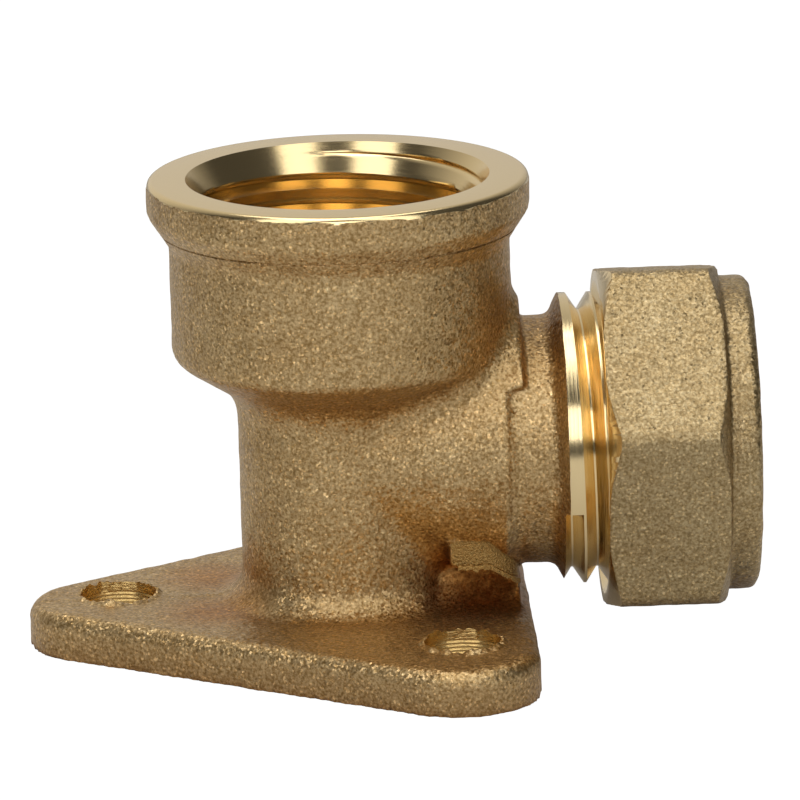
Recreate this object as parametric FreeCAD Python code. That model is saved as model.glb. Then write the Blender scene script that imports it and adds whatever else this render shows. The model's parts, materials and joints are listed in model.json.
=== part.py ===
import FreeCAD, Part
import math
import os

# Wall plate elbow: a cast brass body with a threaded socket, a drilled wall plate and a compression outlet.
# Units are millimetres. The wall plate's underside is the plane z = 0, the socket's axis is the Z axis
# and the compression outlet points along +X.

V = FreeCAD.Vector
X_AXIS = V(1, 0, 0)
Z_AXIS = V(0, 0, 1)

# Overall layout
total_height = 34.0
outlet_height = 14.05

# Wall plate: a rounded triangle whose apex points away from the outlet
plate_thickness = 3.25
plate_width = 44.87
plate_outlet_side = 12.96
plate_slant_angle = 124.2
plate_corner_radius = 5.67
plate_edge_radius = 1.0

# Screw holes, drilled in a ring that is turned a little against the outlet
hole_diameter = 5.4
hole_circle = 33.3
hole_count = 3
hole_turn = -3.0

# Upright: column, underside, socket wall and bead
column_radius = 7.6
column_foot_radius = 2.2
underside_angle = 33.0
underside_fillet = 3.0
socket_radius = 12.16
socket_lower_edge = 21.1
socket_edge_radius = 1.3
bead_radius = 13.65
bead_lower_edge = 31.6
bead_taper_height = 2.3
bead_edge_radius = 0.5
rim_edge_radius = 0.45

# G 1/2 threads: the socket is kept at its tapping size, the spigot at its root and the nut at the major size,
# and the spigot and the nut are each eased by a clearance
thread_major_diameter = 20.955
thread_minor_diameter = 18.631
socket_mouth_diameter = 21.74
socket_mouth_angle = 30.0
socket_depth = 12.4
drill_point_angle = 30.0

# Waterway, cored through the column and the neck
waterway_radius = 5.5

# Conical neck between the column and the outlet, with a step down to the collar on its lower part
neck_root_radius = 7.4
neck_rim_radius = 9.4
neck_length = 11.3
neck_upper_length = 12.7
neck_step_rise = 5.65
neck_step_length = 0.8
neck_step_fill = 0.3
neck_blend_radius = 2.0

# Outlet collar, threaded spigot and pipe socket
collar_radius = 8.91
collar_end = 14.9
flare_length = 1.1
mouth_position = 23.5
spigot_root_clearance = 0.1
spigot_chamfer = 0.3
pipe_diameter = 15.0
pipe_clearance = 0.05
pipe_stop = 13.0

# Web under the neck, with a shaved pad along its top
web_half_width = 4.0
web_foot_radius = 1.8
web_end_setback = 0.75
pad_half_width = 6.9
pad_start = 7.05
pad_start_radius = 0.6
pad_end_radius = 3.1
pad_lip_drop = 7.6
pad_slope_start = 10.0
pad_end_drop = 9.25

# Compression ring and its conical seats
ring_radius = 8.6
ring_end_radius = 7.9
ring_barrel_length = 3.2
seat_angle = 30.0
seat_mouth_radius = 8.75
seat_gap = 0.05

# Compression nut
nut_sides = 6
nut_across_flats = 24.0
nut_turn = 12.6
nut_corner_radius = 1.6
nut_engagement = 5.2
nut_hex_length = 8.7
nut_collar_length = 2.3
nut_collar_radius = 11.31
nut_collar_edge = 0.7
nut_chamfer_radius = 12.2
nut_chamfer_angle = 60.0
nut_mouth_depth = 0.8
nut_thread_clearance = 0.15
nut_thread_run = 7.0

# Modelling tolerances
meeting_tolerance = 0.001
tangent_share = 0.99

# Sizes that follow from the ones above
thread_major_radius = thread_major_diameter / 2
thread_minor_radius = thread_minor_diameter / 2
pipe_bore_radius = pipe_diameter / 2 + pipe_clearance
spigot_radius = thread_minor_radius - spigot_root_clearance
nut_bore_radius = thread_major_radius + nut_thread_clearance
neck_step_top = outlet_height + neck_step_rise
web_end = plate_outlet_side - web_end_setback
nut_start = mouth_position - nut_engagement
nut_hex_end = nut_start + nut_hex_length
nut_end = nut_hex_end + nut_collar_length
seat_slope = math.tan(math.radians(seat_angle))
seat_shift = seat_gap / math.sin(math.radians(seat_angle))
ring_barrel_start = mouth_position - (seat_mouth_radius - ring_radius) / seat_slope + seat_shift
ring_barrel_end = ring_barrel_start + ring_barrel_length
ring_cone_length = (ring_radius - ring_end_radius) / seat_slope


def corner_arc(before, corner, after, radius):
    """Arc of the given radius that rounds a corner between two straight sides, as three points."""
    back = (before - corner).normalize()
    ahead = (after - corner).normalize()
    half = back.getAngle(ahead) / 2
    reach = radius / math.tan(half)
    middle = (back + ahead).normalize()
    centre = corner + middle * (radius / math.sin(half))
    return corner + back * reach, centre - middle * radius, corner + ahead * reach


def rounded_wire(corners):
    """Closed wire through corner points, given as (point, corner radius) with radius 0 for a sharp corner."""
    count = len(corners)
    starts = []
    ends = []
    edges = []
    for i, (corner, radius) in enumerate(corners):
        if radius == 0:
            starts.append(corner)
            ends.append(corner)
            continue
        begin, middle, finish = corner_arc(corners[i - 1][0], corner, corners[(i + 1) % count][0], radius)
        starts.append(begin)
        ends.append(finish)
        edges.append(Part.Arc(begin, middle, finish).toShape())
    for i in range(count):
        edges.append(Part.LineSegment(ends[i], starts[(i + 1) % count]).toShape())
    return Part.Wire(Part.__sortEdges__(edges))


def turned_about_z(profile):
    """Solid turned about the Z axis from (radius, height, corner radius) points."""
    face = Part.Face(rounded_wire([(V(r, 0, z), rounding) for r, z, rounding in profile]))
    return face.revolve(V(0, 0, 0), Z_AXIS, 360)


def turned_about_outlet(profile):
    """Solid turned about the outlet's axis from (position, radius, corner radius) points."""
    face = Part.Face(rounded_wire([(V(x, 0, outlet_height + r), rounding) for x, r, rounding in profile]))
    return face.revolve(V(0, 0, outlet_height), X_AXIS, 360)


def wall_plate():
    """Rounded triangular plate with a rounded upper edge."""
    angle = math.radians(plate_slant_angle)
    wide = plate_width / 2 - plate_corner_radius
    deep = plate_outlet_side - plate_corner_radius
    slant_side = wide * math.sin(angle) + deep * math.cos(angle) + plate_corner_radius
    apex = V(slant_side / math.cos(angle), 0, 0)
    reach = (slant_side - plate_outlet_side * math.cos(angle)) / math.sin(angle)
    corners = [apex, V(plate_outlet_side, -reach, 0), V(plate_outlet_side, reach, 0)]
    outline = rounded_wire([(corner, plate_corner_radius) for corner in corners])
    plate = Part.Face(outline).extrude(V(0, 0, plate_thickness))
    top_edges = [edge for edge in plate.Edges if min(v.Z for v in edge.Vertexes) > plate_thickness / 2]
    return plate.makeFillet(plate_edge_radius, top_edges)


def upright():
    """Column, underside, socket wall and bead, turned as one outline."""
    slope = math.tan(math.radians(underside_angle))
    underside_drop = (socket_radius - column_radius) * slope
    return turned_about_z([
        (0, 0, 0),
        (column_radius, 0, 0),
        (column_radius, socket_lower_edge - underside_drop, underside_fillet),
        (socket_radius, socket_lower_edge, socket_edge_radius),
        (socket_radius, bead_lower_edge - bead_taper_height, bead_edge_radius),
        (bead_radius, bead_lower_edge, bead_edge_radius),
        (bead_radius, total_height, rim_edge_radius),
        (0, total_height, 0),
    ])


def neck():
    """Cone from inside the column past the socket wall, to be blended and then trimmed to length."""
    reach = neck_upper_length + 2 * neck_blend_radius
    rate = (neck_rim_radius - neck_root_radius) / neck_length
    return turned_about_outlet([
        (0, 0, 0),
        (0, neck_root_radius, 0),
        (reach, neck_root_radius + rate * reach, 0),
        (reach, 0, 0),
    ])


def meeting_edges(joined, first, second):
    """Edges of a joined solid that lie on the surfaces of both of the solids it was joined from."""
    found = []
    for edge in joined.Edges:
        middle = Part.Vertex(edge.valueAt((edge.FirstParameter + edge.LastParameter) / 2))
        on_both = [min(face.distToShape(middle)[0] for face in solid.Faces) for solid in (first, second)]
        if max(on_both) < meeting_tolerance:
            found.append(edge)
    return found


def blended_elbow():
    """Upright and neck with a rolling fillet where they meet, the neck's end trimmed in two levels."""
    standing = upright()
    branch = neck()
    joined = standing.fuse(branch)
    blended = joined.makeFillet(neck_blend_radius, meeting_edges(joined, standing, branch))
    span = 4 * neck_rim_radius
    lower = Part.makeBox(span, span, neck_step_top, V(neck_length, -span / 2, 0))
    upper_height = bead_lower_edge - bead_taper_height - neck_step_top
    upper = Part.makeBox(span, span, upper_height, V(neck_upper_length, -span / 2, neck_step_top))
    return blended.cut([lower, upper])


def foot():
    """Concave ring that blends the column into the plate."""
    return turned_about_z([
        (0, plate_thickness / 2, 0),
        (column_radius + column_foot_radius, plate_thickness / 2, 0),
        (column_radius + column_foot_radius, plate_thickness, 0),
        (column_radius, plate_thickness, column_foot_radius * tangent_share),
        (column_radius, plate_thickness + column_foot_radius, 0),
        (0, plate_thickness + column_foot_radius, 0),
    ])


def outlet():
    """Collar, flare and threaded spigot on the outlet's axis."""
    root = neck_length / 2
    flare_end = collar_end + flare_length
    return turned_about_outlet([
        (root, 0, 0),
        (root, neck_root_radius, 0),
        (neck_length, collar_radius + neck_step_fill, 0),
        (neck_length + neck_step_length, collar_radius, 0),
        (collar_end, collar_radius, flare_length * tangent_share),
        (flare_end, spigot_radius, 0),
        (mouth_position - spigot_chamfer, spigot_radius, 0),
        (mouth_position, spigot_radius - spigot_chamfer, 0),
        (mouth_position, 0, 0),
    ])


def web():
    """Rib that joins the neck's underside to the plate, with a concave foot on both sides."""
    wide = web_half_width + web_foot_radius
    base = plate_thickness / 2
    outline = [(V(0, -wide, base), 0), (V(0, -wide, plate_thickness), 0)]
    outline.append((V(0, -web_half_width, plate_thickness), web_foot_radius * tangent_share))
    outline.append((V(0, -web_half_width, outlet_height), 0))
    outline.append((V(0, web_half_width, outlet_height), 0))
    outline.append((V(0, web_half_width, plate_thickness), web_foot_radius * tangent_share))
    outline += [(V(0, wide, plate_thickness), 0), (V(0, wide, base), 0)]
    return Part.Face(rounded_wire(outline)).extrude(V(web_end, 0, 0))


def pad():
    """Shelf along the top of the web, with flat sides, a rounded end and a lip that falls towards the outlet."""
    lip = outlet_height - pad_lip_drop
    side_view = rounded_wire([
        (V(pad_start, -pad_half_width, outlet_height), 0),
        (V(pad_start, -pad_half_width, lip), pad_start_radius),
        (V(pad_slope_start, -pad_half_width, lip), 0),
        (V(web_end, -pad_half_width, outlet_height - pad_end_drop), 0),
        (V(web_end, -pad_half_width, outlet_height), 0),
    ])
    plan_view = rounded_wire([
        (V(0, -pad_half_width, 0), 0),
        (V(web_end, -pad_half_width, 0), pad_end_radius),
        (V(web_end, pad_half_width, 0), pad_end_radius),
        (V(0, pad_half_width, 0), 0),
    ])
    shelf = Part.Face(side_view).extrude(V(0, 2 * pad_half_width, 0))
    return shelf.common(Part.Face(plan_view).extrude(V(0, 0, total_height)))


def socket_cavity():
    """Countersunk tapped hole with a drill point at its floor."""
    sink = (socket_mouth_diameter / 2 - thread_minor_radius) / math.tan(math.radians(socket_mouth_angle))
    floor = total_height - socket_depth
    point = (thread_minor_radius - waterway_radius) * math.tan(math.radians(drill_point_angle))
    return turned_about_z([
        (0, floor - point, 0),
        (waterway_radius, floor - point, 0),
        (thread_minor_radius, floor, 0),
        (thread_minor_radius, total_height - sink, 0),
        (socket_mouth_diameter / 2, total_height, 0),
        (0, total_height, 0),
    ])


def waterway():
    """Cored passage from the socket's floor, round the elbow's corner, to the pipe stop."""
    corner = V(0, 0, outlet_height)
    riser = Part.makeCylinder(waterway_radius, total_height - socket_depth - outlet_height, corner, Z_AXIS)
    run = Part.makeCylinder(waterway_radius, pipe_stop, corner, X_AXIS)
    bend = Part.makeSphere(waterway_radius, corner)
    return bend.fuse([riser, run])


def pipe_socket():
    """Pipe bore from the stop to the mouth, with the conical seat for the ring."""
    seat_start = mouth_position - (seat_mouth_radius - pipe_bore_radius) / seat_slope
    return turned_about_outlet([
        (pipe_stop, 0, 0),
        (pipe_stop, pipe_bore_radius, 0),
        (seat_start, pipe_bore_radius, 0),
        (mouth_position, seat_mouth_radius, 0),
        (mouth_position, 0, 0),
    ])


def screw_holes():
    """Plain through holes on the screw circle, the first one at the plate's apex."""
    holes = []
    for i in range(hole_count):
        angle = math.radians(180 + hole_turn + i * 360 / hole_count)
        place = V(hole_circle / 2 * math.cos(angle), hole_circle / 2 * math.sin(angle), 0)
        holes.append(Part.makeCylinder(hole_diameter / 2, plate_thickness, place, Z_AXIS))
    return holes


def elbow_body():
    """The cast and machined body in one piece."""
    casting = blended_elbow().fuse([outlet(), wall_plate(), foot(), web(), pad()]).removeSplitter()
    cavities = [socket_cavity(), waterway(), pipe_socket()] + screw_holes()
    return casting.cut(cavities)


def compression_nut():
    """Hexagon nut with rounded corners, chamfered ends and a round collar."""
    corner_distance = nut_across_flats / 2 / math.cos(math.pi / nut_sides)
    corners = []
    for i in range(nut_sides):
        angle = math.radians(nut_turn + i * 360 / nut_sides)
        place = V(nut_start, -corner_distance * math.cos(angle), outlet_height + corner_distance * math.sin(angle))
        corners.append((place, nut_corner_radius))
    hexagon = Part.Face(rounded_wire(corners)).extrude(V(nut_hex_end - nut_start, 0, 0))
    rise = (corner_distance - nut_chamfer_radius) / math.tan(math.radians(nut_chamfer_angle))
    envelope = turned_about_outlet([
        (nut_start, 0, 0),
        (nut_start, nut_chamfer_radius, 0),
        (nut_start + rise, corner_distance, 0),
        (nut_hex_end - rise, corner_distance, 0),
        (nut_hex_end, nut_chamfer_radius, 0),
        (nut_hex_end, 0, 0),
    ])
    collar = turned_about_outlet([
        (nut_start, 0, 0),
        (nut_start, nut_collar_radius, 0),
        (nut_end, nut_collar_radius, nut_collar_edge),
        (nut_end, 0, 0),
    ])
    outside = hexagon.common(envelope).fuse(collar).removeSplitter()
    return outside.cut(nut_bore())


def nut_bore():
    """Thread run, conical shoulder for the ring and pipe hole, with a countersunk mouth."""
    shoulder_at_ring = ring_barrel_end + seat_shift
    shoulder_end = shoulder_at_ring + (ring_radius - pipe_bore_radius) / seat_slope
    shoulder_start = shoulder_at_ring - (seat_mouth_radius - ring_radius) / seat_slope
    return turned_about_outlet([
        (nut_start, 0, 0),
        (nut_start, nut_bore_radius + nut_mouth_depth, 0),
        (nut_start + nut_mouth_depth, nut_bore_radius, 0),
        (nut_start + nut_thread_run, nut_bore_radius, 0),
        (shoulder_start, seat_mouth_radius, 0),
        (shoulder_end, pipe_bore_radius, 0),
        (nut_end, pipe_bore_radius, 0),
        (nut_end, 0, 0),
    ])


def compression_ring():
    """Soft ring with a short barrel and two conical ends, bored for the pipe."""
    start = ring_barrel_start - ring_cone_length
    end = ring_barrel_end + ring_cone_length
    return turned_about_outlet([
        (start, pipe_bore_radius, 0),
        (start, ring_end_radius, 0),
        (ring_barrel_start, ring_radius, 0),
        (ring_barrel_end, ring_radius, 0),
        (end, ring_end_radius, 0),
        (end, pipe_bore_radius, 0),
    ])


os.makedirs("parts", exist_ok=True)
for make in (elbow_body, compression_nut, compression_ring):
    shape = make()
    shape.exportStep("parts/" + make.__name__ + ".step")
    print(make.__name__, "valid", shape.isValid(), "solids", len(shape.Solids), "volume", round(shape.Volume, 2))
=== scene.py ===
import bpy
import bmesh
import json
import math
import numpy as np
from mathutils import Matrix, Vector, noise


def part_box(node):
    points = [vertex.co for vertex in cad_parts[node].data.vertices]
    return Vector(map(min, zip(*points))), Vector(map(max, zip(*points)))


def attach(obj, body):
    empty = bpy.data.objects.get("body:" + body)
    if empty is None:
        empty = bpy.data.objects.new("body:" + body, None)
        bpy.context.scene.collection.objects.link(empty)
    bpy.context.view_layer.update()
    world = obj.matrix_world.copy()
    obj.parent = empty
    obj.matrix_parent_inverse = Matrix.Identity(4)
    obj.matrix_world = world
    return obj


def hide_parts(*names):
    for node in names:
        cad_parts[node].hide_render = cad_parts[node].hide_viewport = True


# Looks of the wall plate elbow: a blasted brass casting and nut with machined rim, threads, holes and pad.
# Units are metres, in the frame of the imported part.
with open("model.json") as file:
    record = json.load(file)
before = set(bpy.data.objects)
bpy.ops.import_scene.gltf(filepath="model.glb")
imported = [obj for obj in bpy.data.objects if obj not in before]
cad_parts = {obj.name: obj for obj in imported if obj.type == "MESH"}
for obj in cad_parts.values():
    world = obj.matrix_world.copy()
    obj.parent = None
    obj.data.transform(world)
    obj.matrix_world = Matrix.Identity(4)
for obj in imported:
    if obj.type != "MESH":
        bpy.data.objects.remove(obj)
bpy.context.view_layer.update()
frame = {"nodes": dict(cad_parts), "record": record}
MM = 0.001

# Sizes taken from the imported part
mounts = {mount["name"]: mount for mount in frame["record"]["mounts"]}
rim_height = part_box("elbow_body")[1].z
mouth_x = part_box("elbow_body")[1].x
nut_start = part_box("compression_nut")[0].x
nut_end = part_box("compression_nut")[1].x
outlet_height = mounts["pipe_bore"]["pos_m"][2]
pipe_radius = mounts["pipe_bore"]["dims"]["r_mm"] * MM
thread_root = mounts["socket_thread"]["dims"]["r_mm"] * MM
hole_radius = mounts["screw_holes"]["dims"]["hole_r_mm"] * MM
hole_ring_radius = mounts["screw_holes"]["dims"]["pcd_mm"] / 2 * MM
hole_count = mounts["screw_holes"]["dims"]["count"]

# G 1/2 thread
thread_pitch = 1.814 * MM
thread_crest = 10.4775 * MM
thread_depth = thread_crest - thread_root
thread_clearance = 0.06 * MM
thread_root_flat = 0.07
thread_crest_flat = 0.1
socket_crest_flat = 1 / 3

# Spigot: cast flare, turned blank, thread start and mouth
flare_start = 14.7 * MM
flare_end = 15.75 * MM
collar_radius = 8.91 * MM
blank_allowance = 0.3 * MM
mouth_stock = 0.5 * MM
first_groove_x = 15.75 * MM
first_groove_angle = math.radians(199.6)
mouth_chamfer_radius = 9.1 * MM
seat_mouth_radius = 8.75 * MM
seat_slope = math.tan(math.radians(30))
pipe_stop = 13.0 * MM

# Socket: rim, countersink, thread and drilled floor
bead_radius = 13.65 * MM
rim_edge_radius = 0.45 * MM
rim_edge_steps = 7
rim_stock = 0.6 * MM
rim_step_depth = 0.08 * MM
rim_step_reach = 0.06 * MM
countersink_radius = 10.87 * MM
countersink_slope = math.tan(math.radians(30))
socket_floor = rim_height - 12.4 * MM
socket_runout = 1.5 * MM
socket_thread_angle = math.radians(108)
drill_slope = math.tan(math.radians(30))

# Cored waterway
waterway_radius = 5.5 * MM
bend_rings = 24
bend_end = 0.49 * math.pi

# Sharp step where the bead ends above the socket's wall
bead_step_top = 30.52 * MM
bead_step_bottom = 30.36 * MM
bead_step_radius = 12.76 * MM
bead_foot_radius = 12.81 * MM

# Plate and screw holes
plate_thickness = 3.25 * MM
hole_turn = math.radians(177)
hole_tear_depth = 0.5 * MM
hole_tear_width = 0.3 * MM
hole_tear_steps = 6
hole_tear_curve = 1.5
hole_whole_share = 0.35
hole_burr_height = 0.42 * MM
hole_burr_width = 0.16 * MM
hole_burr_foot = 0.5 * MM
hole_burr_sink = 0.02 * MM
hole_burr_gap = 0.01 * MM
hole_feed = 0.28 * MM
hole_feed_depth = 0.07 * MM

# Web under the neck and the shaved pad on top of it
web_half_width = 4.0 * MM
pad_start = 7.05 * MM
pad_end = 12.21 * MM
pad_half_width = 6.9 * MM
pad_corner = 0.6 * MM
pad_end_radius = 3.1 * MM
pad_lip = outlet_height - 7.6 * MM
pad_slope_start = 10.0 * MM
pad_end_lip = outlet_height - 9.25 * MM
pad_shaving = 0.06 * MM
pad_top = 8.5 * MM
pad_top_end = 9.9 * MM
pad_tail_x = 11.7 * MM
pad_tail = 6.7 * MM
pad_tail_end = 5.9 * MM
pad_tool_drop = 0.5 * MM
lip_burr_height = 0.25 * MM
lip_burr_width = 0.3 * MM
lip_burr_stand = 0.2 * MM

# Unevenness of torn and burred edges
ragged_middle = 0.45
ragged_waves = ((2.3, 0.7), (7.0, 0.6))
burr_seed_step = 3.1
tear_seed = 2.0
tear_seed_step = 5.3
lip_seed = 9.0

# Nut
nut_face_depth = 0.04 * MM
nut_chamfer_radius = 12.12 * MM
nut_chamfer_slope = math.tan(math.radians(60))
nut_mouth_depth = 0.8 * MM
nut_thread_run = 7.0 * MM
nut_shoulder_start = 26.26 * MM
nut_shoulder_end = 28.46 * MM
nut_end_land = 10.4 * MM
nut_collar_length = 2.3 * MM
nut_hex_end = nut_end - nut_collar_length
nut_back_radius = 12.05 * MM

# Fillings of the machined hollows, each a little wider than its hollow
socket_overlap = 0.4 * MM
socket_floor_cover = 0.5 * MM
socket_point_cover = 1.5 * MM
countersink_foot = 3.0 * MM
countersink_head = 1.5 * MM
rim_blank_foot = 1.0 * MM
rim_blank_gap = 0.02 * MM
waterway_overlap = 0.5 * MM
pipe_overlap = 0.4 * MM
pipe_stop_cover = 0.5 * MM
pipe_stop_cone = 1.0 * MM
collar_gap = 0.1 * MM
flare_lead = 0.3 * MM
flare_foot = 0.2 * MM
flare_foot_rise = 0.15 * MM
hole_overlap = 0.2 * MM
nut_overlap = 0.3 * MM
nut_thread_cover = 0.5 * MM

# Mesh resolution and cast skin
turn_steps = 144
thread_rings = 12
body_voxel = 0.24 * MM
nut_voxel = 0.17 * MM
skin_smoothing = 2
skin_share = 0.56
skin_waves = ((1.6 * MM, 0.035 * MM), (0.7 * MM, 0.025 * MM))
seam_height = 0.05 * MM
seam_width = 0.25 * MM
weld_distance = 0.0001 * MM
overrun = 2.0 * MM
tool_reach = 16.0 * MM
sharp_angle = math.radians(38)

# Brass colours and roughness, the blasted skins with tones from their hollows to their tops
cast_tones = ((0.36, 0.23, 0.09), (0.55, 0.38, 0.18), (0.72, 0.53, 0.28))
nut_tones = ((0.3, 0.215, 0.1), (0.44, 0.325, 0.165), (0.56, 0.44, 0.25))
rim_colour = (0.88, 0.68, 0.36)
thread_colour = (0.88, 0.69, 0.38)
drilled_colour = (0.7, 0.48, 0.19)
shaved_colour = (0.5, 0.315, 0.11)
ring_colour = (0.82, 0.6, 0.26)
white = (1.0, 1.0, 1.0)
skin_roughness = 0.4
rim_roughness = 0.17
thread_roughness = 0.16
drilled_roughness = 0.26
shaved_roughness = 0.32
nut_roughness = 0.2
ring_roughness = 0.22

# Texture of the blasted skin, with scales as counts for each millimetre
grain_scale = 4.5
grain_depth = 0.035 * MM
grain_stops = (0.36, 0.5, 0.64)
swell_scale = 1.5
swell_depth = 0.05 * MM
patch_scale = 0.3
patch_stops = (0.3, 0.7)
patch_tint = (0.88, 0.84, 0.78)
facet_scale = 6.5
facet_tilt = 0.34
rare_facet_tilt = 0.75
rare_facet_power = 4.0
# Painted glints: a few random facets are made lighter
painted_glint_share = (0.86, 0.95)
painted_glint_gain = 1.55

# Painted shade: brown darkening in the recesses, and darker brown with smoother texture in the hollow below
# the pad, with its place and reach in millimetres
recess_reach = 6.0 * MM
recess_samples = 6
recess_stops = (0.2, 0.85)
recess_painted_shade = (0.54, 0.39, 0.26)
hollow_place = (9.8, 4.6, 5.0)
hollow_core = 1.8
hollow_reach = 5.0
hollow_painted_shade = (0.88, 0.64, 0.37)
hollow_texture = 0.25

# Marks on the turned faces
mark_scale = 9.0
thread_mark_scale = 2.5
mark_depth = 0.0012 * MM
rim_mark_depth = 0.005 * MM
thread_mark_depth = 0.03 * MM
mark_stops = (0.3, 0.7)
mark_gloss = (0.8, 1.25)

# Chatter on the drilled and shaved faces, as counts for each millimetre along the three axes
drilled_chatter = (1.5, 1.5, 7.0)
drilled_depth = 0.08 * MM
shaved_chatter = (6.0, 7.0, 7.0)
shaved_depth = 0.22 * MM

# Camera of the photograph
camera_lens = 360.0
camera_sensor = 36.0
camera_distance = 0.574954
camera_azimuth = math.radians(-1.854)
camera_elevation = math.radians(14.526)
camera_roll = math.radians(-1.525)
camera_target = Vector((4.050, 0.0, 17.257)) * MM
camera_clip = 0.01

# Studio light
lamp_distance = 0.6
bright_side = (-0.3, 0.9, 0.3)
bright_start = 0.25
world_dark = 0.06
world_bright = 0.66
world_tint = (1.0, 0.97, 0.92)
floor_tone = 0.72
floor_roughness = 0.9
floor_half_size = 3.0
floor_drop = 0.1 * MM

# Axes that the lathe shapes are turned about
socket_axis = Matrix.Identity(4)
outlet_axis = Matrix(((0, 0, 1, 0), (1, 0, 0, 0), (0, 1, 0, outlet_height), (0, 0, 0, 1)))
sweep = np.linspace(0, 2 * np.pi, turn_steps, endpoint=False)


def linked(name, mesh):
    """New object of the scene with the given mesh."""
    obj = bpy.data.objects.new(name, mesh)
    bpy.context.scene.collection.objects.link(obj)
    return obj


def turned(name, axis, rings, material=None, first_angle=0.0, climb=(0, 0), hollow=False):
    """Closed shape round an axis through rings of (station, radius); both may vary with the angle.

    The end rings are filled, or joined with each other when the shape is hollow.
    From ring climb[0] to ring climb[1] the rings climb by one pitch in each turn, so that there the last
    point of a ring joins the first point of the ring that lies one whole turn further.
    """
    angles = first_angle + sweep
    points = []
    for station, radius in rings:
        radii = np.broadcast_to(radius, angles.shape)
        stations = np.broadcast_to(station, angles.shape)
        points.append(np.stack([radii * np.cos(angles), radii * np.sin(angles), stations], 1))
    step = np.arange(turn_steps - 1)
    last = turn_steps - 1
    faces = []
    for i in range(len(rings) - 1):
        low = i * turn_steps
        high = low + turn_steps
        faces += np.stack([low + step, low + step + 1, high + step + 1, high + step], 1).tolist()
        climbing = climb[0] <= i < climb[1]
        further = thread_rings * turn_steps if climbing else 0
        if not climbing or i + 1 + thread_rings <= climb[1]:
            faces.append([low + last, low + further, high + further, high + last])
    end = (len(rings) - 1) * turn_steps
    if hollow:
        for i in range(turn_steps):
            after = (i + 1) % turn_steps
            faces.append([end + i, end + after, after, i])
    else:
        faces.append(list(range(last, -1, -1)))
        faces.append(list(range(end, end + turn_steps)))
    mesh = bpy.data.meshes.new(name)
    mesh.from_pydata(np.concatenate(points).tolist(), [], faces)
    builder = bmesh.new()
    builder.from_mesh(mesh)
    bmesh.ops.remove_doubles(builder, verts=builder.verts, dist=weld_distance)
    bmesh.ops.recalc_face_normals(builder, faces=builder.faces)
    builder.to_mesh(mesh)
    builder.free()
    mesh.transform(axis)
    if material:
        mesh.materials.append(material)
    return linked(name, mesh)


def extruded(name, outline, low, high, material, upright=False):
    """Closed shape with an (x, z) outline that runs along Y, or with an (x, y) outline that runs along Z."""
    count = len(outline)
    points = [(a, b, c) if upright else (a, c, b) for c in (low, high) for a, b in outline]
    faces = [list(range(count)), list(range(2 * count - 1, count - 1, -1))]
    for i in range(count):
        after = (i + 1) % count
        faces.append([i, i + count, after + count, after])
    mesh = bpy.data.meshes.new(name)
    mesh.from_pydata(points, [], faces)
    mesh.materials.append(material)
    builder = bmesh.new()
    builder.from_mesh(mesh)
    bmesh.ops.recalc_face_normals(builder, faces=builder.faces)
    builder.to_mesh(mesh)
    builder.free()
    return linked(name, mesh)


def arc(centre, radius, first, last, steps=9):
    """Points of an arc between two angles."""
    turns = np.linspace(first, last, steps)
    return [(centre[0] + radius * math.cos(turn), centre[1] + radius * math.sin(turn)) for turn in turns]


def ragged(seed):
    """Uneven line round an axis, from 0 to about 1."""
    values = []
    for angle in sweep:
        around = Vector((math.cos(angle), math.sin(angle), seed))
        value = ragged_middle
        for frequency, height in ragged_waves:
            value += height * noise.noise(around * frequency)
        values.append(value)
    return np.clip(values, 0, 1)


def baked(obj):
    """Replaces the object's mesh with the result of its modifiers."""
    shown = obj.evaluated_get(bpy.context.evaluated_depsgraph_get())
    before = obj.data
    obj.data = bpy.data.meshes.new_from_object(shown)
    obj.modifiers.clear()
    bpy.data.meshes.remove(before)


def combine(obj, tool, operation):
    """Joins the object with the tool, cuts it or keeps the common part, and removes the tool."""
    step = obj.modifiers.new(operation, "BOOLEAN")
    step.operation = operation
    step.object = tool
    step.solver = "MANIFOLD"
    step.material_mode = "TRANSFER"
    baked(obj)
    bpy.data.objects.remove(tool)


def cad_copy(name, node, plugs):
    """Welded copy of a CAD node's mesh together with plugs that fill its machined hollows."""
    builder = bmesh.new()
    builder.from_mesh(frame["nodes"][node].data)
    bmesh.ops.remove_doubles(builder, verts=builder.verts, dist=weld_distance)
    for plug in plugs:
        builder.from_mesh(plug.data)
        bpy.data.objects.remove(plug)
    mesh = bpy.data.meshes.new(name)
    builder.to_mesh(mesh)
    builder.free()
    return linked(name, mesh)


def cast_skin(obj, voxel, material):
    """Gives the object one closed skin with the soft waves of a casting and a faint seam where y is 0."""
    remesh = obj.modifiers.new("skin", "REMESH")
    remesh.mode = "VOXEL"
    remesh.voxel_size = voxel
    soften = obj.modifiers.new("soften", "SMOOTH")
    soften.iterations = skin_smoothing
    baked(obj)
    mesh = obj.data
    mesh.materials.clear()
    mesh.materials.append(material)
    normals = [normal.vector.copy() for normal in mesh.vertex_normals]
    for vertex, normal in zip(mesh.vertices, normals):
        lift = sum(height * noise.noise(vertex.co / size) for size, height in skin_waves)
        lift += seam_height * math.exp(-(vertex.co.y / seam_width) ** 2)
        vertex.co += normal * lift
    thin = obj.modifiers.new("thin", "DECIMATE")
    thin.ratio = skin_share
    baked(obj)


def shaded(obj):
    """Smooth shading with sharp edges where faces meet at a clear angle."""
    obj.data.shade_smooth()
    obj.data.set_sharp_from_angle(angle=sharp_angle)


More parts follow.
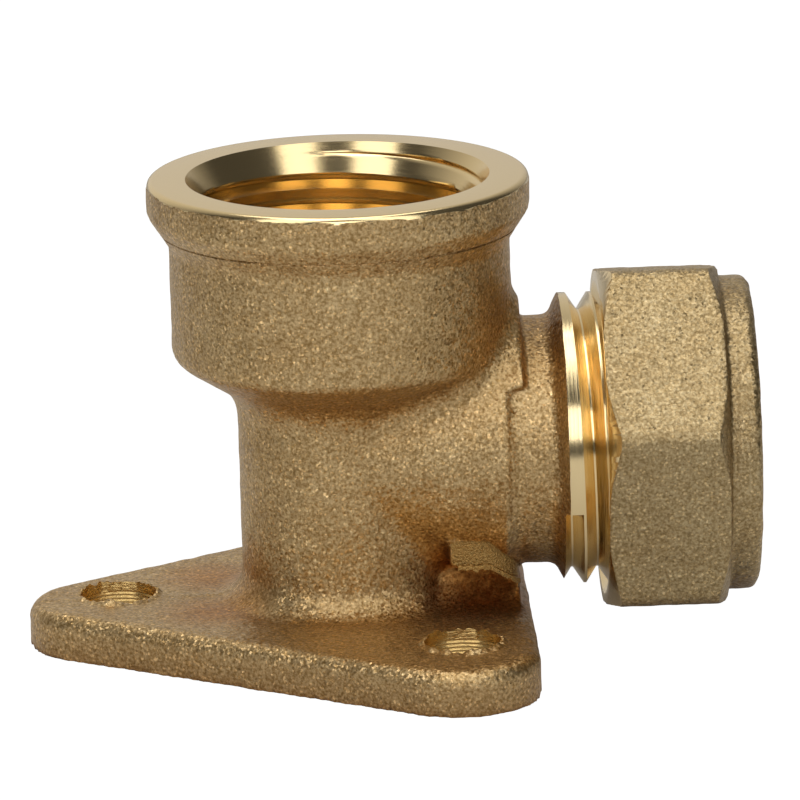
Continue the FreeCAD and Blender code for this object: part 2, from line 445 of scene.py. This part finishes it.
def thread_stations(low, high, groove_station, flat):
    """Stations of the rings of a right-hand thread between two ends, each ring climbing one pitch in a turn.

    In each pitch one ring lies in the middle of the groove, and one at each edge of the groove's flat and
    of the crest's flat.
    """
    middle = thread_rings // 2
    knots = (0, 1, middle - 1, middle + 1, thread_rings - 1, thread_rings)
    shares = (0, flat / 2, 0.5 - thread_crest_flat / 2, 0.5 + thread_crest_flat / 2, 1 - flat / 2, 1)
    count = (math.ceil((high - low) / thread_pitch) + 3) * thread_rings + 1
    before = math.floor((low - groove_station) / thread_pitch) - 1
    stations = []
    for i in range(count):
        pitches = before + i // thread_rings + np.interp(i % thread_rings, knots, shares)
        climbing = groove_station + (pitches + sweep / (2 * np.pi)) * thread_pitch
        stations.append(np.clip(climbing, low, high))
    return stations


def thread_share(station, groove_station, flat):
    """Height of a thread, from 0 in its groove to 1 on its crest, and 1 all round before its start."""
    turns = (station - groove_station) / thread_pitch - sweep / (2 * np.pi)
    from_groove = 2 * np.abs(turns - np.round(turns))
    flank = np.clip((from_groove - flat) / (1 - thread_crest_flat - flat), 0, 1)
    return np.where(turns > -0.5, flank, 1)


def socket_plug():
    """Filling of the socket and its waterway, with stock above the rim to be faced off."""
    return turned("socket_plug", socket_axis, [
        (outlet_height - waterway_radius, waterway_radius + waterway_overlap),
        (socket_floor - socket_point_cover, waterway_radius + waterway_overlap),
        (socket_floor - socket_floor_cover, thread_root + socket_overlap),
        (rim_height - countersink_foot, thread_root + socket_overlap),
        (rim_height - countersink_head, countersink_radius + socket_overlap),
        (rim_height - rim_blank_foot, bead_radius - rim_blank_gap),
        (rim_height + rim_stock, bead_radius - rim_blank_gap),
    ])


def outlet_plug():
    """Filling of the pipe socket, with the cast flare and the blank that the thread is cut from."""
    return turned("outlet_plug", outlet_axis, [
        (0, waterway_radius + waterway_overlap),
        (pipe_stop - pipe_stop_cone, waterway_radius + waterway_overlap),
        (pipe_stop - pipe_stop_cover, collar_radius - collar_gap),
        (flare_start - flare_lead, collar_radius),
        (flare_start + flare_foot, collar_radius + flare_foot_rise),
        (flare_end, thread_crest + blank_allowance),
        (mouth_x + mouth_stock, thread_crest + blank_allowance),
    ])


def web_foot():
    """Wide hollow between the web's two faces and the plate, up to the pad's lip."""
    radius = pad_lip - plate_thickness
    side = web_half_width + radius
    outline = [(-side, plate_thickness / 2)]
    outline += arc((-side, pad_lip), radius, -math.pi / 2, 0)
    outline += arc((side, pad_lip), radius, math.pi, 3 * math.pi / 2)
    outline.append((side, plate_thickness / 2))
    foot = extruded("web_foot", outline, -pad_end, 0, None)
    foot.data.transform(Matrix.Rotation(math.pi / 2, 4, "Z"))
    return foot


def hole_axis(index):
    """Upright axis of a screw hole."""
    angle = hole_turn + index * 2 * math.pi / hole_count
    return Matrix.Translation((hole_ring_radius * math.cos(angle), hole_ring_radius * math.sin(angle), 0))


def hole_plug(index):
    """Filling of a screw hole."""
    wide = hole_radius + hole_overlap
    return turned("hole_plug", hole_axis(index), [(0, wide), (plate_thickness, wide)])


def socket_tool(material):
    """Facing of the rim, rounding of its edge, countersink, thread and drilled floor in one turned shape."""
    point = (thread_root - waterway_radius) * drill_slope
    rings = [(socket_floor - point - overrun, waterway_radius), (socket_floor - point, waterway_radius)]
    first = len(rings)
    start = socket_floor - 2 * thread_pitch
    for station in thread_stations(socket_floor, rim_height, start, socket_crest_flat):
        fade = np.minimum(1, (station - socket_floor) / socket_runout)
        cut = thread_root + thread_depth * fade * thread_share(station, start, socket_crest_flat)
        countersink = countersink_radius - (rim_height - station) * countersink_slope
        rings.append((station, np.maximum(cut, countersink)))
    climb = (first, len(rings) - 1)
    for turn in np.linspace(0, math.pi / 2, rim_edge_steps):
        station = rim_height - rim_edge_radius * (1 - math.cos(turn))
        rings.append((station, bead_radius - rim_edge_radius * (1 - math.sin(turn))))
    low = rim_height - rim_edge_radius - rim_step_depth
    rings += [(low, bead_radius + rim_step_reach), (low, tool_reach), (rim_height + overrun, tool_reach)]
    return turned("socket_tool", socket_axis, rings, material, socket_thread_angle, climb)


def outlet_tool(material):
    """Pipe bore, seat, mouth and external thread of the spigot in one turned shape."""
    seat_start = mouth_x - (seat_mouth_radius - pipe_radius) / seat_slope
    bore = [(mouth_x, seat_mouth_radius), (seat_start, pipe_radius), (pipe_stop, pipe_radius)]
    outside = []
    for station in thread_stations(flare_start, mouth_x, first_groove_x, thread_root_flat):
        crest = thread_root + thread_depth * thread_share(station, first_groove_x, thread_root_flat)
        outside.append((station, np.minimum(crest, mouth_chamfer_radius + mouth_x - station)))
    rings = [(mouth_x + overrun, tool_reach), (flare_start, tool_reach)] + outside + bore
    climb = (2, 1 + len(outside))
    return turned("outlet_tool", outlet_axis, rings, material, first_groove_angle, climb)


def bead_step_tool(material):
    """Shallow cut that leaves a sharp roof under the bead."""
    return turned("bead_step", socket_axis, [
        (bead_step_top, tool_reach),
        (bead_step_top, bead_step_radius),
        (bead_step_bottom, bead_foot_radius),
        (bead_step_bottom, tool_reach),
    ], material, hollow=True)


def hole_burr(index, material):
    """Ragged crown that the drill pushed up round a screw hole."""
    crown = plate_thickness + hole_burr_height * ragged(burr_seed_step * index)
    return turned("hole_burr", hole_axis(index), [
        (plate_thickness - hole_burr_height, hole_radius + hole_burr_foot),
        (plate_thickness - hole_burr_sink, hole_radius + hole_burr_foot),
        (crown, hole_radius + hole_burr_width),
        (crown, hole_radius + hole_burr_gap),
        (plate_thickness, hole_radius / 2),
    ], material)


def hole_tool(index, material):
    """Drill through the plate whose upper edge is torn out in a ragged line."""
    torn = np.maximum(0, ragged(tear_seed_step * index + tear_seed) - hole_whole_share)
    rings = [(-overrun, hole_radius)]
    feeds = round((plate_thickness - hole_tear_depth) / hole_feed)
    for i in range(feeds):
        rings.append((i * hole_feed, hole_radius))
        rings.append(((i + 0.5) * hole_feed, hole_radius + hole_feed_depth))
    for share in np.linspace(0, 1, hole_tear_steps):
        station = plate_thickness + hole_burr_height - (hole_tear_depth + hole_burr_height) * (1 - share)
        rings.append((station, hole_radius + hole_tear_width * share ** hole_tear_curve * torn))
    rings.append((plate_thickness + overrun, hole_radius + hole_tear_width * torn))
    return turned("hole_tool", hole_axis(index), rings, material)


def pad_plan(name, inset, material):
    """Upright prism on the pad's outline, drawn in by an inset."""
    end = pad_end - pad_end_radius
    side = pad_half_width - pad_end_radius
    radius = pad_end_radius - inset
    outline = [(0, inset - pad_half_width)]
    outline += arc((end, -side), radius, -math.pi / 2, 0)
    outline += arc((end, side), radius, 0, math.pi / 2)
    outline.append((0, pad_half_width - inset))
    return extruded(name, outline, 0, tool_reach, material, upright=True)


def pad_tool(material):
    """Cutter that shaves the pad's sides, with a level top that falls away before the collar."""
    low = pad_end_lip - pad_tool_drop
    right = pad_end + pad_shaving
    outline = [(pad_top_end, pad_top), (pad_tail_x, pad_tail), (right, pad_tail_end)]
    outline += [(right, low), (pad_start, low)]
    outline += arc((pad_start + pad_corner, pad_top - pad_corner), pad_corner, math.pi, math.pi / 2)
    tool = extruded("pad_tool", outline, -tool_reach, tool_reach, material)
    combine(tool, pad_plan("pad_core", pad_shaving, material), "DIFFERENCE")
    return tool


def lip_burr(material):
    """Ragged edge that the shaving left along the pad's lower lip."""
    along = np.linspace(pad_start + pad_corner, pad_end, turn_steps // 2)
    lip = np.interp(along, [pad_slope_start, pad_end], [pad_lip, pad_end_lip])
    torn = lip - lip_burr_height * ragged(lip_seed)[::2]
    outline = [(x, z) for x, z in zip(along, torn)]
    outline += [(x, z + lip_burr_height) for x, z in zip(along[::-1], lip[::-1])]
    burr = extruded("lip_burr", outline, -tool_reach, tool_reach, material)
    combine(burr, pad_plan("lip_outside", -lip_burr_stand, material), "INTERSECT")
    combine(burr, pad_plan("lip_inside", lip_burr_width, material), "DIFFERENCE")
    return burr


def waterway_tools(material):
    """Cored passage: the riser, the run to the pipe stop and the rounded corner between them."""
    bend = []
    for turn in np.linspace(-bend_end, bend_end, bend_rings):
        bend.append((outlet_height + waterway_radius * math.sin(turn), waterway_radius * math.cos(turn)))
    riser = [(outlet_height, waterway_radius), (socket_floor - overrun, waterway_radius)]
    run = [(0, waterway_radius), (pipe_stop + overrun, waterway_radius)]
    return [
        turned("bend", socket_axis, bend, material),
        turned("riser", socket_axis, riser, material),
        turned("run", outlet_axis, run, material),
    ]


def nut_plug():
    """Filling of the nut's bore."""
    wide = thread_crest + nut_overlap
    return turned("nut_plug", outlet_axis, [
        (nut_start, wide + nut_mouth_depth),
        (nut_start + nut_mouth_depth, wide),
        (nut_start + nut_thread_run + nut_thread_cover, wide),
        (nut_shoulder_end, pipe_radius + pipe_overlap),
        (nut_end, pipe_radius + pipe_overlap),
    ])


def nut_tool(material):
    """Chamfered face, thread, shoulder and end face of the nut in one turned shape."""
    face = nut_start + nut_face_depth
    chamfer_end = face + (tool_reach - nut_chamfer_radius) / nut_chamfer_slope
    rings = [(nut_start - overrun, tool_reach), (chamfer_end, tool_reach), (face, nut_chamfer_radius)]
    first = len(rings)
    mouth_radius = thread_crest + thread_clearance + nut_mouth_depth
    thread_end = nut_start + nut_thread_run
    for station in thread_stations(face, thread_end, first_groove_x, thread_root_flat):
        fade = np.minimum(1, (thread_end - station) / thread_pitch)
        share = np.maximum(thread_share(station, first_groove_x, thread_root_flat), 1 - fade)
        cut = thread_root + thread_clearance + thread_depth * share
        rings.append((station, np.maximum(cut, mouth_radius - (station - face))))
    climb = (first, len(rings) - 1)
    end = nut_end - nut_face_depth
    rings += [
        (nut_shoulder_start, seat_mouth_radius),
        (nut_shoulder_end, pipe_radius),
        (end, pipe_radius),
        (end, nut_end_land),
        (nut_end + overrun, nut_end_land + overrun),
    ]
    return turned("nut_tool", outlet_axis, rings, material, first_groove_angle, climb)


def nut_back_tool(material):
    """Chamfer of the hexagon's corners at the end of the nut."""
    reach = (tool_reach - nut_back_radius) / nut_chamfer_slope
    return turned("nut_back_tool", outlet_axis, [
        (nut_hex_end - reach, tool_reach),
        (nut_hex_end, nut_back_radius),
        (nut_hex_end + reach, nut_back_radius),
        (nut_hex_end + reach, tool_reach),
    ], material, hollow=True)


def shader(name):
    """New metal material with its node tree, links and principled surface."""
    material = bpy.data.materials.new(name)
    material.use_nodes = True
    tree = material.node_tree
    surface = tree.nodes["Principled BSDF"]
    surface.inputs["Metallic"].default_value = 1.0
    return material, tree.nodes, tree.links, surface


def in_millimetres(nodes, links):
    """Object coordinates as millimetres, so that texture scales read as counts for each millimetre."""
    place = nodes.new("ShaderNodeTexCoord")
    scale = nodes.new("ShaderNodeVectorMath")
    scale.operation = "SCALE"
    scale.inputs["Scale"].default_value = 1 / MM
    links.new(place.outputs["Object"], scale.inputs[0])
    return scale.outputs["Vector"]


def vector_node(nodes, links, operation, first, second=(0, 0, 0)):
    """Result of a vector operation on one or two terms, each a socket or a constant."""
    node = nodes.new("ShaderNodeVectorMath")
    node.operation = operation
    for socket, term in zip(node.inputs, (first, second)):
        if isinstance(term, tuple):
            socket.default_value = term
        else:
            links.new(term, socket)
    return node.outputs["Vector"]


def multiply_node(nodes, links, first, second):
    """Product of two vectors or colours."""
    return vector_node(nodes, links, "MULTIPLY", first, second)


def range_node(nodes, links, value, before, after):
    """Value carried over from one range to another and held at its ends."""
    node = nodes.new("ShaderNodeMapRange")
    node.inputs["From Min"].default_value = before[0]
    node.inputs["From Max"].default_value = before[1]
    node.inputs["To Min"].default_value = after[0]
    node.inputs["To Max"].default_value = after[1]
    links.new(value, node.inputs["Value"])
    return node.outputs["Result"]


def noise_node(nodes, links, vector, scale, detail, rough=0.55):
    """Fractal noise of the given scale."""
    node = nodes.new("ShaderNodeTexNoise")
    node.inputs["Scale"].default_value = scale
    node.inputs["Detail"].default_value = detail
    node.inputs["Roughness"].default_value = rough
    links.new(vector, node.inputs["Vector"])
    return node.outputs["Fac"]


def ramp_node(nodes, links, factor, positions, colours):
    """Colour ramp through rising positions, with a colour for each."""
    node = nodes.new("ShaderNodeValToRGB")
    stops = node.color_ramp.elements
    for position in positions[1:-1]:
        stops.new(position)
    for stop, position, colour in zip(stops, positions, colours):
        stop.position = position
        stop.color = (*colour, 1.0)
    links.new(factor, node.inputs["Fac"])
    return node.outputs["Color"]


def bump_node(nodes, links, height, distance, before=None):
    """Bump of a real depth, on top of an earlier one."""
    node = nodes.new("ShaderNodeBump")
    node.inputs["Strength"].default_value = 1.0
    node.inputs["Distance"].default_value = distance
    links.new(height, node.inputs["Height"])
    if before:
        links.new(before, node.inputs["Normal"])
    return node.outputs["Normal"]


def hollow_under_neck(nodes, links, place):
    """Share of the texture that is left in the hollow below the pad, alike on both sides of the web; the
    same share sets how far painted shade darkens the colour there.
    """
    distance = nodes.new("ShaderNodeVectorMath")
    distance.operation = "DISTANCE"
    distance.inputs[1].default_value = hollow_place
    links.new(vector_node(nodes, links, "ABSOLUTE", place), distance.inputs[0])
    spread = (hollow_core, hollow_reach)
    return range_node(nodes, links, distance.outputs["Value"], spread, (hollow_texture, 1.0))


def skin_normal(nodes, links, place, grain, facets, hollow):
    """Normal of the blasted skin, with soft swells, fine grain and small facets that lean at random."""
    swell = bump_node(nodes, links, noise_node(nodes, links, place, swell_scale, detail=2.0), swell_depth)
    fine = bump_node(nodes, links, grain, grain_depth, swell)
    for bumped in (swell, fine):
        links.new(hollow, bumped.node.inputs["Strength"])
    rare = nodes.new("ShaderNodeMath")
    rare.operation = "POWER"
    rare.inputs[1].default_value = rare_facet_power
    links.new(facets, rare.inputs[0])
    amount = range_node(nodes, links, rare.outputs[0], (0.0, 1.0), (facet_tilt, rare_facet_tilt))
    lean = vector_node(nodes, links, "SUBTRACT", facets, (0.5, 0.5, 0.5))
    lean = multiply_node(nodes, links, lean, amount)
    lean = multiply_node(nodes, links, lean, hollow)
    tilted = vector_node(nodes, links, "ADD", fine, lean)
    return vector_node(nodes, links, "NORMALIZE", tilted)


def painted_glints(nodes, links, facets):
    """Gain that makes a few random facets lighter, as painted glints."""
    channels = nodes.new("ShaderNodeSeparateColor")
    links.new(facets, channels.inputs["Color"])
    return range_node(nodes, links, channels.outputs["Red"], painted_glint_share, (1.0, painted_glint_gain))


def cast_brass(name, tones):
    """Shot-blasted brass: fine hollows, small facets tilted at random, painted glints on a few facets and
    painted brown shade in the recesses and in the hollow below the pad.
    """
    material, nodes, links, surface = shader(name)
    place = in_millimetres(nodes, links)
    hollow = hollow_under_neck(nodes, links, place)
    grain = noise_node(nodes, links, place, grain_scale, detail=3.0, rough=0.6)
    patches = noise_node(nodes, links, place, patch_scale, detail=3.0)
    voronoi = nodes.new("ShaderNodeTexVoronoi")
    voronoi.inputs["Scale"].default_value = facet_scale
    links.new(place, voronoi.inputs["Vector"])
    facets = voronoi.outputs["Color"]
    # Painted shade: ambient occlusion darkens the colour towards brown in recesses and creases
    recess = nodes.new("ShaderNodeAmbientOcclusion")
    recess.samples = recess_samples
    recess.inputs["Distance"].default_value = recess_reach
    tints = [
        ramp_node(nodes, links, patches, patch_stops, (patch_tint, white)),
        # Painted shade: darker brown colour in the hollow below the pad
        ramp_node(nodes, links, hollow, (hollow_texture, 1.0), (hollow_painted_shade, white)),
        # Painted glints: lighter brass on a few random facets
        painted_glints(nodes, links, facets),
        ramp_node(nodes, links, recess.outputs["AO"], recess_stops, (recess_painted_shade, white)),
    ]
    colour = ramp_node(nodes, links, grain, grain_stops, tones)
    for tint in tints:
        colour = multiply_node(nodes, links, colour, tint)
    links.new(colour, surface.inputs["Base Color"])
    links.new(skin_normal(nodes, links, place, grain, facets, hollow), surface.inputs["Normal"])
    surface.inputs["Roughness"].default_value = skin_roughness
    return material


def turned_brass(name, colour, roughness, axis, depth=mark_depth, scale=mark_scale):
    """Machined brass with marks of a depth and a scale that run round an axis."""
    material, nodes, links, surface = shader(name)
    place = in_millimetres(nodes, links)
    split = nodes.new("ShaderNodeSeparateXYZ")
    links.new(place, split.inputs[0])
    flat = nodes.new("ShaderNodeCombineXYZ")
    along, first, second = ("Z", "X", "Y") if axis == "Z" else ("X", "Y", "Z")
    links.new(split.outputs[first], flat.inputs["X"])
    if axis == "Z":
        links.new(split.outputs[second], flat.inputs["Y"])
    else:
        level = nodes.new("ShaderNodeMath")
        level.operation = "SUBTRACT"
        level.inputs[1].default_value = outlet_height / MM
        links.new(split.outputs[second], level.inputs[0])
        links.new(level.outputs[0], flat.inputs["Y"])
    radius = nodes.new("ShaderNodeVectorMath")
    radius.operation = "LENGTH"
    links.new(flat.outputs[0], radius.inputs[0])
    section = nodes.new("ShaderNodeCombineXYZ")
    links.new(radius.outputs["Value"], section.inputs["X"])
    links.new(split.outputs[along], section.inputs["Y"])
    marks = noise_node(nodes, links, section.outputs[0], scale, detail=4.0, rough=0.7)
    surface.inputs["Base Color"].default_value = (*colour, 1.0)
    tones = [(roughness * gloss,) * 3 for gloss in mark_gloss]
    links.new(ramp_node(nodes, links, marks, mark_stops, tones), surface.inputs["Roughness"])
    links.new(bump_node(nodes, links, marks, depth), surface.inputs["Normal"])
    return material


def torn_brass(name, colour, roughness, counts, depth):
    """Roughly cut brass with chatter of its own count along each axis."""
    material, nodes, links, surface = shader(name)
    place = multiply_node(nodes, links, in_millimetres(nodes, links), counts)
    chatter = noise_node(nodes, links, place, 1.0, detail=3.0)
    surface.inputs["Base Color"].default_value = (*colour, 1.0)
    surface.inputs["Roughness"].default_value = roughness
    links.new(bump_node(nodes, links, chatter, depth), surface.inputs["Normal"])
    return material


def build_elbow():
    """Casting with its machined faces, in place of the CAD body."""
    plugs = [socket_plug(), outlet_plug(), web_foot()] + [hole_plug(i) for i in range(hole_count)]
    body = cad_copy("elbow_casting", "elbow_body", plugs)
    skin = cast_brass("cast_brass", cast_tones)
    cast_skin(body, body_voxel, skin)
    rim_brass = turned_brass("socket_turned_brass", rim_colour, rim_roughness, "Z", rim_mark_depth)
    thread_brass = turned_brass(
        "outlet_turned_brass", thread_colour, thread_roughness, "X", thread_mark_depth, thread_mark_scale)
    drilled_brass = torn_brass(
        "drilled_brass", drilled_colour, drilled_roughness, drilled_chatter, drilled_depth)
    shaved_brass = torn_brass("shaved_brass", shaved_colour, shaved_roughness, shaved_chatter, shaved_depth)
    for i in range(hole_count):
        combine(body, hole_burr(i, skin), "UNION")
    tools = [outlet_tool(thread_brass), socket_tool(rim_brass), bead_step_tool(skin), pad_tool(shaved_brass)]
    tools += waterway_tools(drilled_brass)
    tools += [hole_tool(i, drilled_brass) for i in range(hole_count)]
    for tool in tools:
        combine(body, tool, "DIFFERENCE")
    combine(body, lip_burr(shaved_brass), "UNION")
    shaded(body)
    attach(body, "elbow")
    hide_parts("elbow_body")


def build_nut():
    """Forged nut with its machined face and thread, in place of the CAD nut."""
    nut = cad_copy("nut_forging", "compression_nut", [nut_plug()])
    skin = cast_brass("nut_brass", nut_tones)
    cast_skin(nut, nut_voxel, skin)
    machined = turned_brass("nut_turned_brass", rim_colour, nut_roughness, "X")
    combine(nut, nut_back_tool(skin), "DIFFERENCE")
    combine(nut, nut_tool(machined), "DIFFERENCE")
    shaded(nut)
    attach(nut, "nut")
    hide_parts("compression_nut")


def dress_ring():
    """Bright turned finish on the compression ring."""
    ring = frame["nodes"]["compression_ring"]
    ring.data.materials.clear()
    ring.data.materials.append(turned_brass("ring_turned_brass", ring_colour, ring_roughness, "X"))


def direction(azimuth, elevation):
    """Direction away from the part, with its azimuth from the front towards the right."""
    level = math.cos(elevation)
    return Vector((math.sin(azimuth) * level, -math.cos(azimuth) * level, math.sin(elevation)))


def add_softbox(name, azimuth, elevation, width, height, strength):
    """Lamp aimed at the middle of the part from an angle in degrees."""
    towards = direction(math.radians(azimuth), math.radians(elevation))
    lamp = bpy.data.lights.new(name, "AREA")
    lamp.shape = "RECTANGLE"
    lamp.size = width
    lamp.size_y = height
    lamp.energy = strength * math.pi * width * height
    obj = bpy.data.objects.new(name, lamp)
    obj.location = camera_target + towards * lamp_distance
    obj.rotation_euler = towards.to_track_quat("Z", "Y").to_euler()
    bpy.context.scene.collection.objects.link(obj)


def add_floor():
    """White sheet that fills the picture, and a pale floor that lights the part from below."""
    for name, colour, strength in (("white_sheet", 1.0, 1.0), ("pale_floor", floor_tone, 0.0)):
        mesh = bpy.data.meshes.new(name)
        builder = bmesh.new()
        bmesh.ops.create_grid(builder, x_segments=1, y_segments=1, size=floor_half_size)
        builder.to_mesh(mesh)
        builder.free()
        material, _, _, surface = shader(name)
        surface.inputs["Metallic"].default_value = 0.0
        surface.inputs["Roughness"].default_value = floor_roughness
        surface.inputs["Base Color"].default_value = (colour, colour, colour, 1.0)
        surface.inputs["Emission Color"].default_value = (*white, 1.0)
        surface.inputs["Emission Strength"].default_value = strength
        mesh.materials.append(material)
        sheet = linked(name, mesh)
        sheet.location.z = -floor_drop
        in_picture = strength > 0
        sheet.visible_camera = in_picture
        sheet.visible_glossy = not in_picture
        sheet.visible_diffuse = not in_picture
        sheet.visible_shadow = not in_picture


def add_world():
    """Grey surroundings that brighten towards the upper back left."""
    world = bpy.data.worlds.new("studio")
    world.use_nodes = True
    nodes = world.node_tree.nodes
    links = world.node_tree.links
    place = nodes.new("ShaderNodeTexCoord")
    side = nodes.new("ShaderNodeVectorMath")
    side.operation = "DOT_PRODUCT"
    side.inputs[1].default_value = bright_side
    links.new(place.outputs["Generated"], side.inputs[0])
    level = range_node(nodes, links, side.outputs["Value"], (bright_start, 1.0), (world_dark, world_bright))
    background = nodes["Background"]
    background.inputs["Color"].default_value = (*world_tint, 1.0)
    links.new(level, background.inputs["Strength"])
    bpy.context.scene.world = world


def add_camera():
    """Camera at the photograph's angle."""
    camera = bpy.data.cameras.new("camera")
    camera.lens = camera_lens
    camera.sensor_width = camera_sensor
    camera.clip_start = camera_clip
    obj = bpy.data.objects.new("camera", camera)
    back = direction(camera_azimuth, camera_elevation)
    right = Vector((math.cos(camera_azimuth), math.sin(camera_azimuth), 0))
    turn = Matrix((right, back.cross(right), back)).transposed() @ Matrix.Rotation(camera_roll, 3, "Z")
    obj.matrix_world = Matrix.Translation(camera_target + back * camera_distance) @ turn.to_4x4()
    bpy.context.scene.collection.objects.link(obj)
    bpy.context.scene.camera = obj


build_elbow()
build_nut()
dress_ring()
add_floor()
add_world()
add_softbox("left_key", azimuth=-39, elevation=42, width=0.29, height=0.8, strength=1.65)
add_softbox("right_key", azimuth=36, elevation=42, width=0.26, height=0.8, strength=1.6)
add_softbox("front", azimuth=0, elevation=25, width=0.22, height=0.28, strength=2.3)
add_softbox("top", azimuth=-60, elevation=86, width=0.3, height=0.3, strength=2.4)
add_softbox("left_window", azimuth=-146, elevation=68, width=0.15, height=0.2, strength=2.2)
add_softbox("right_window", azimuth=146, elevation=68, width=0.15, height=0.2, strength=2.2)
add_camera()
bpy.context.scene.view_settings.view_transform = "Standard"
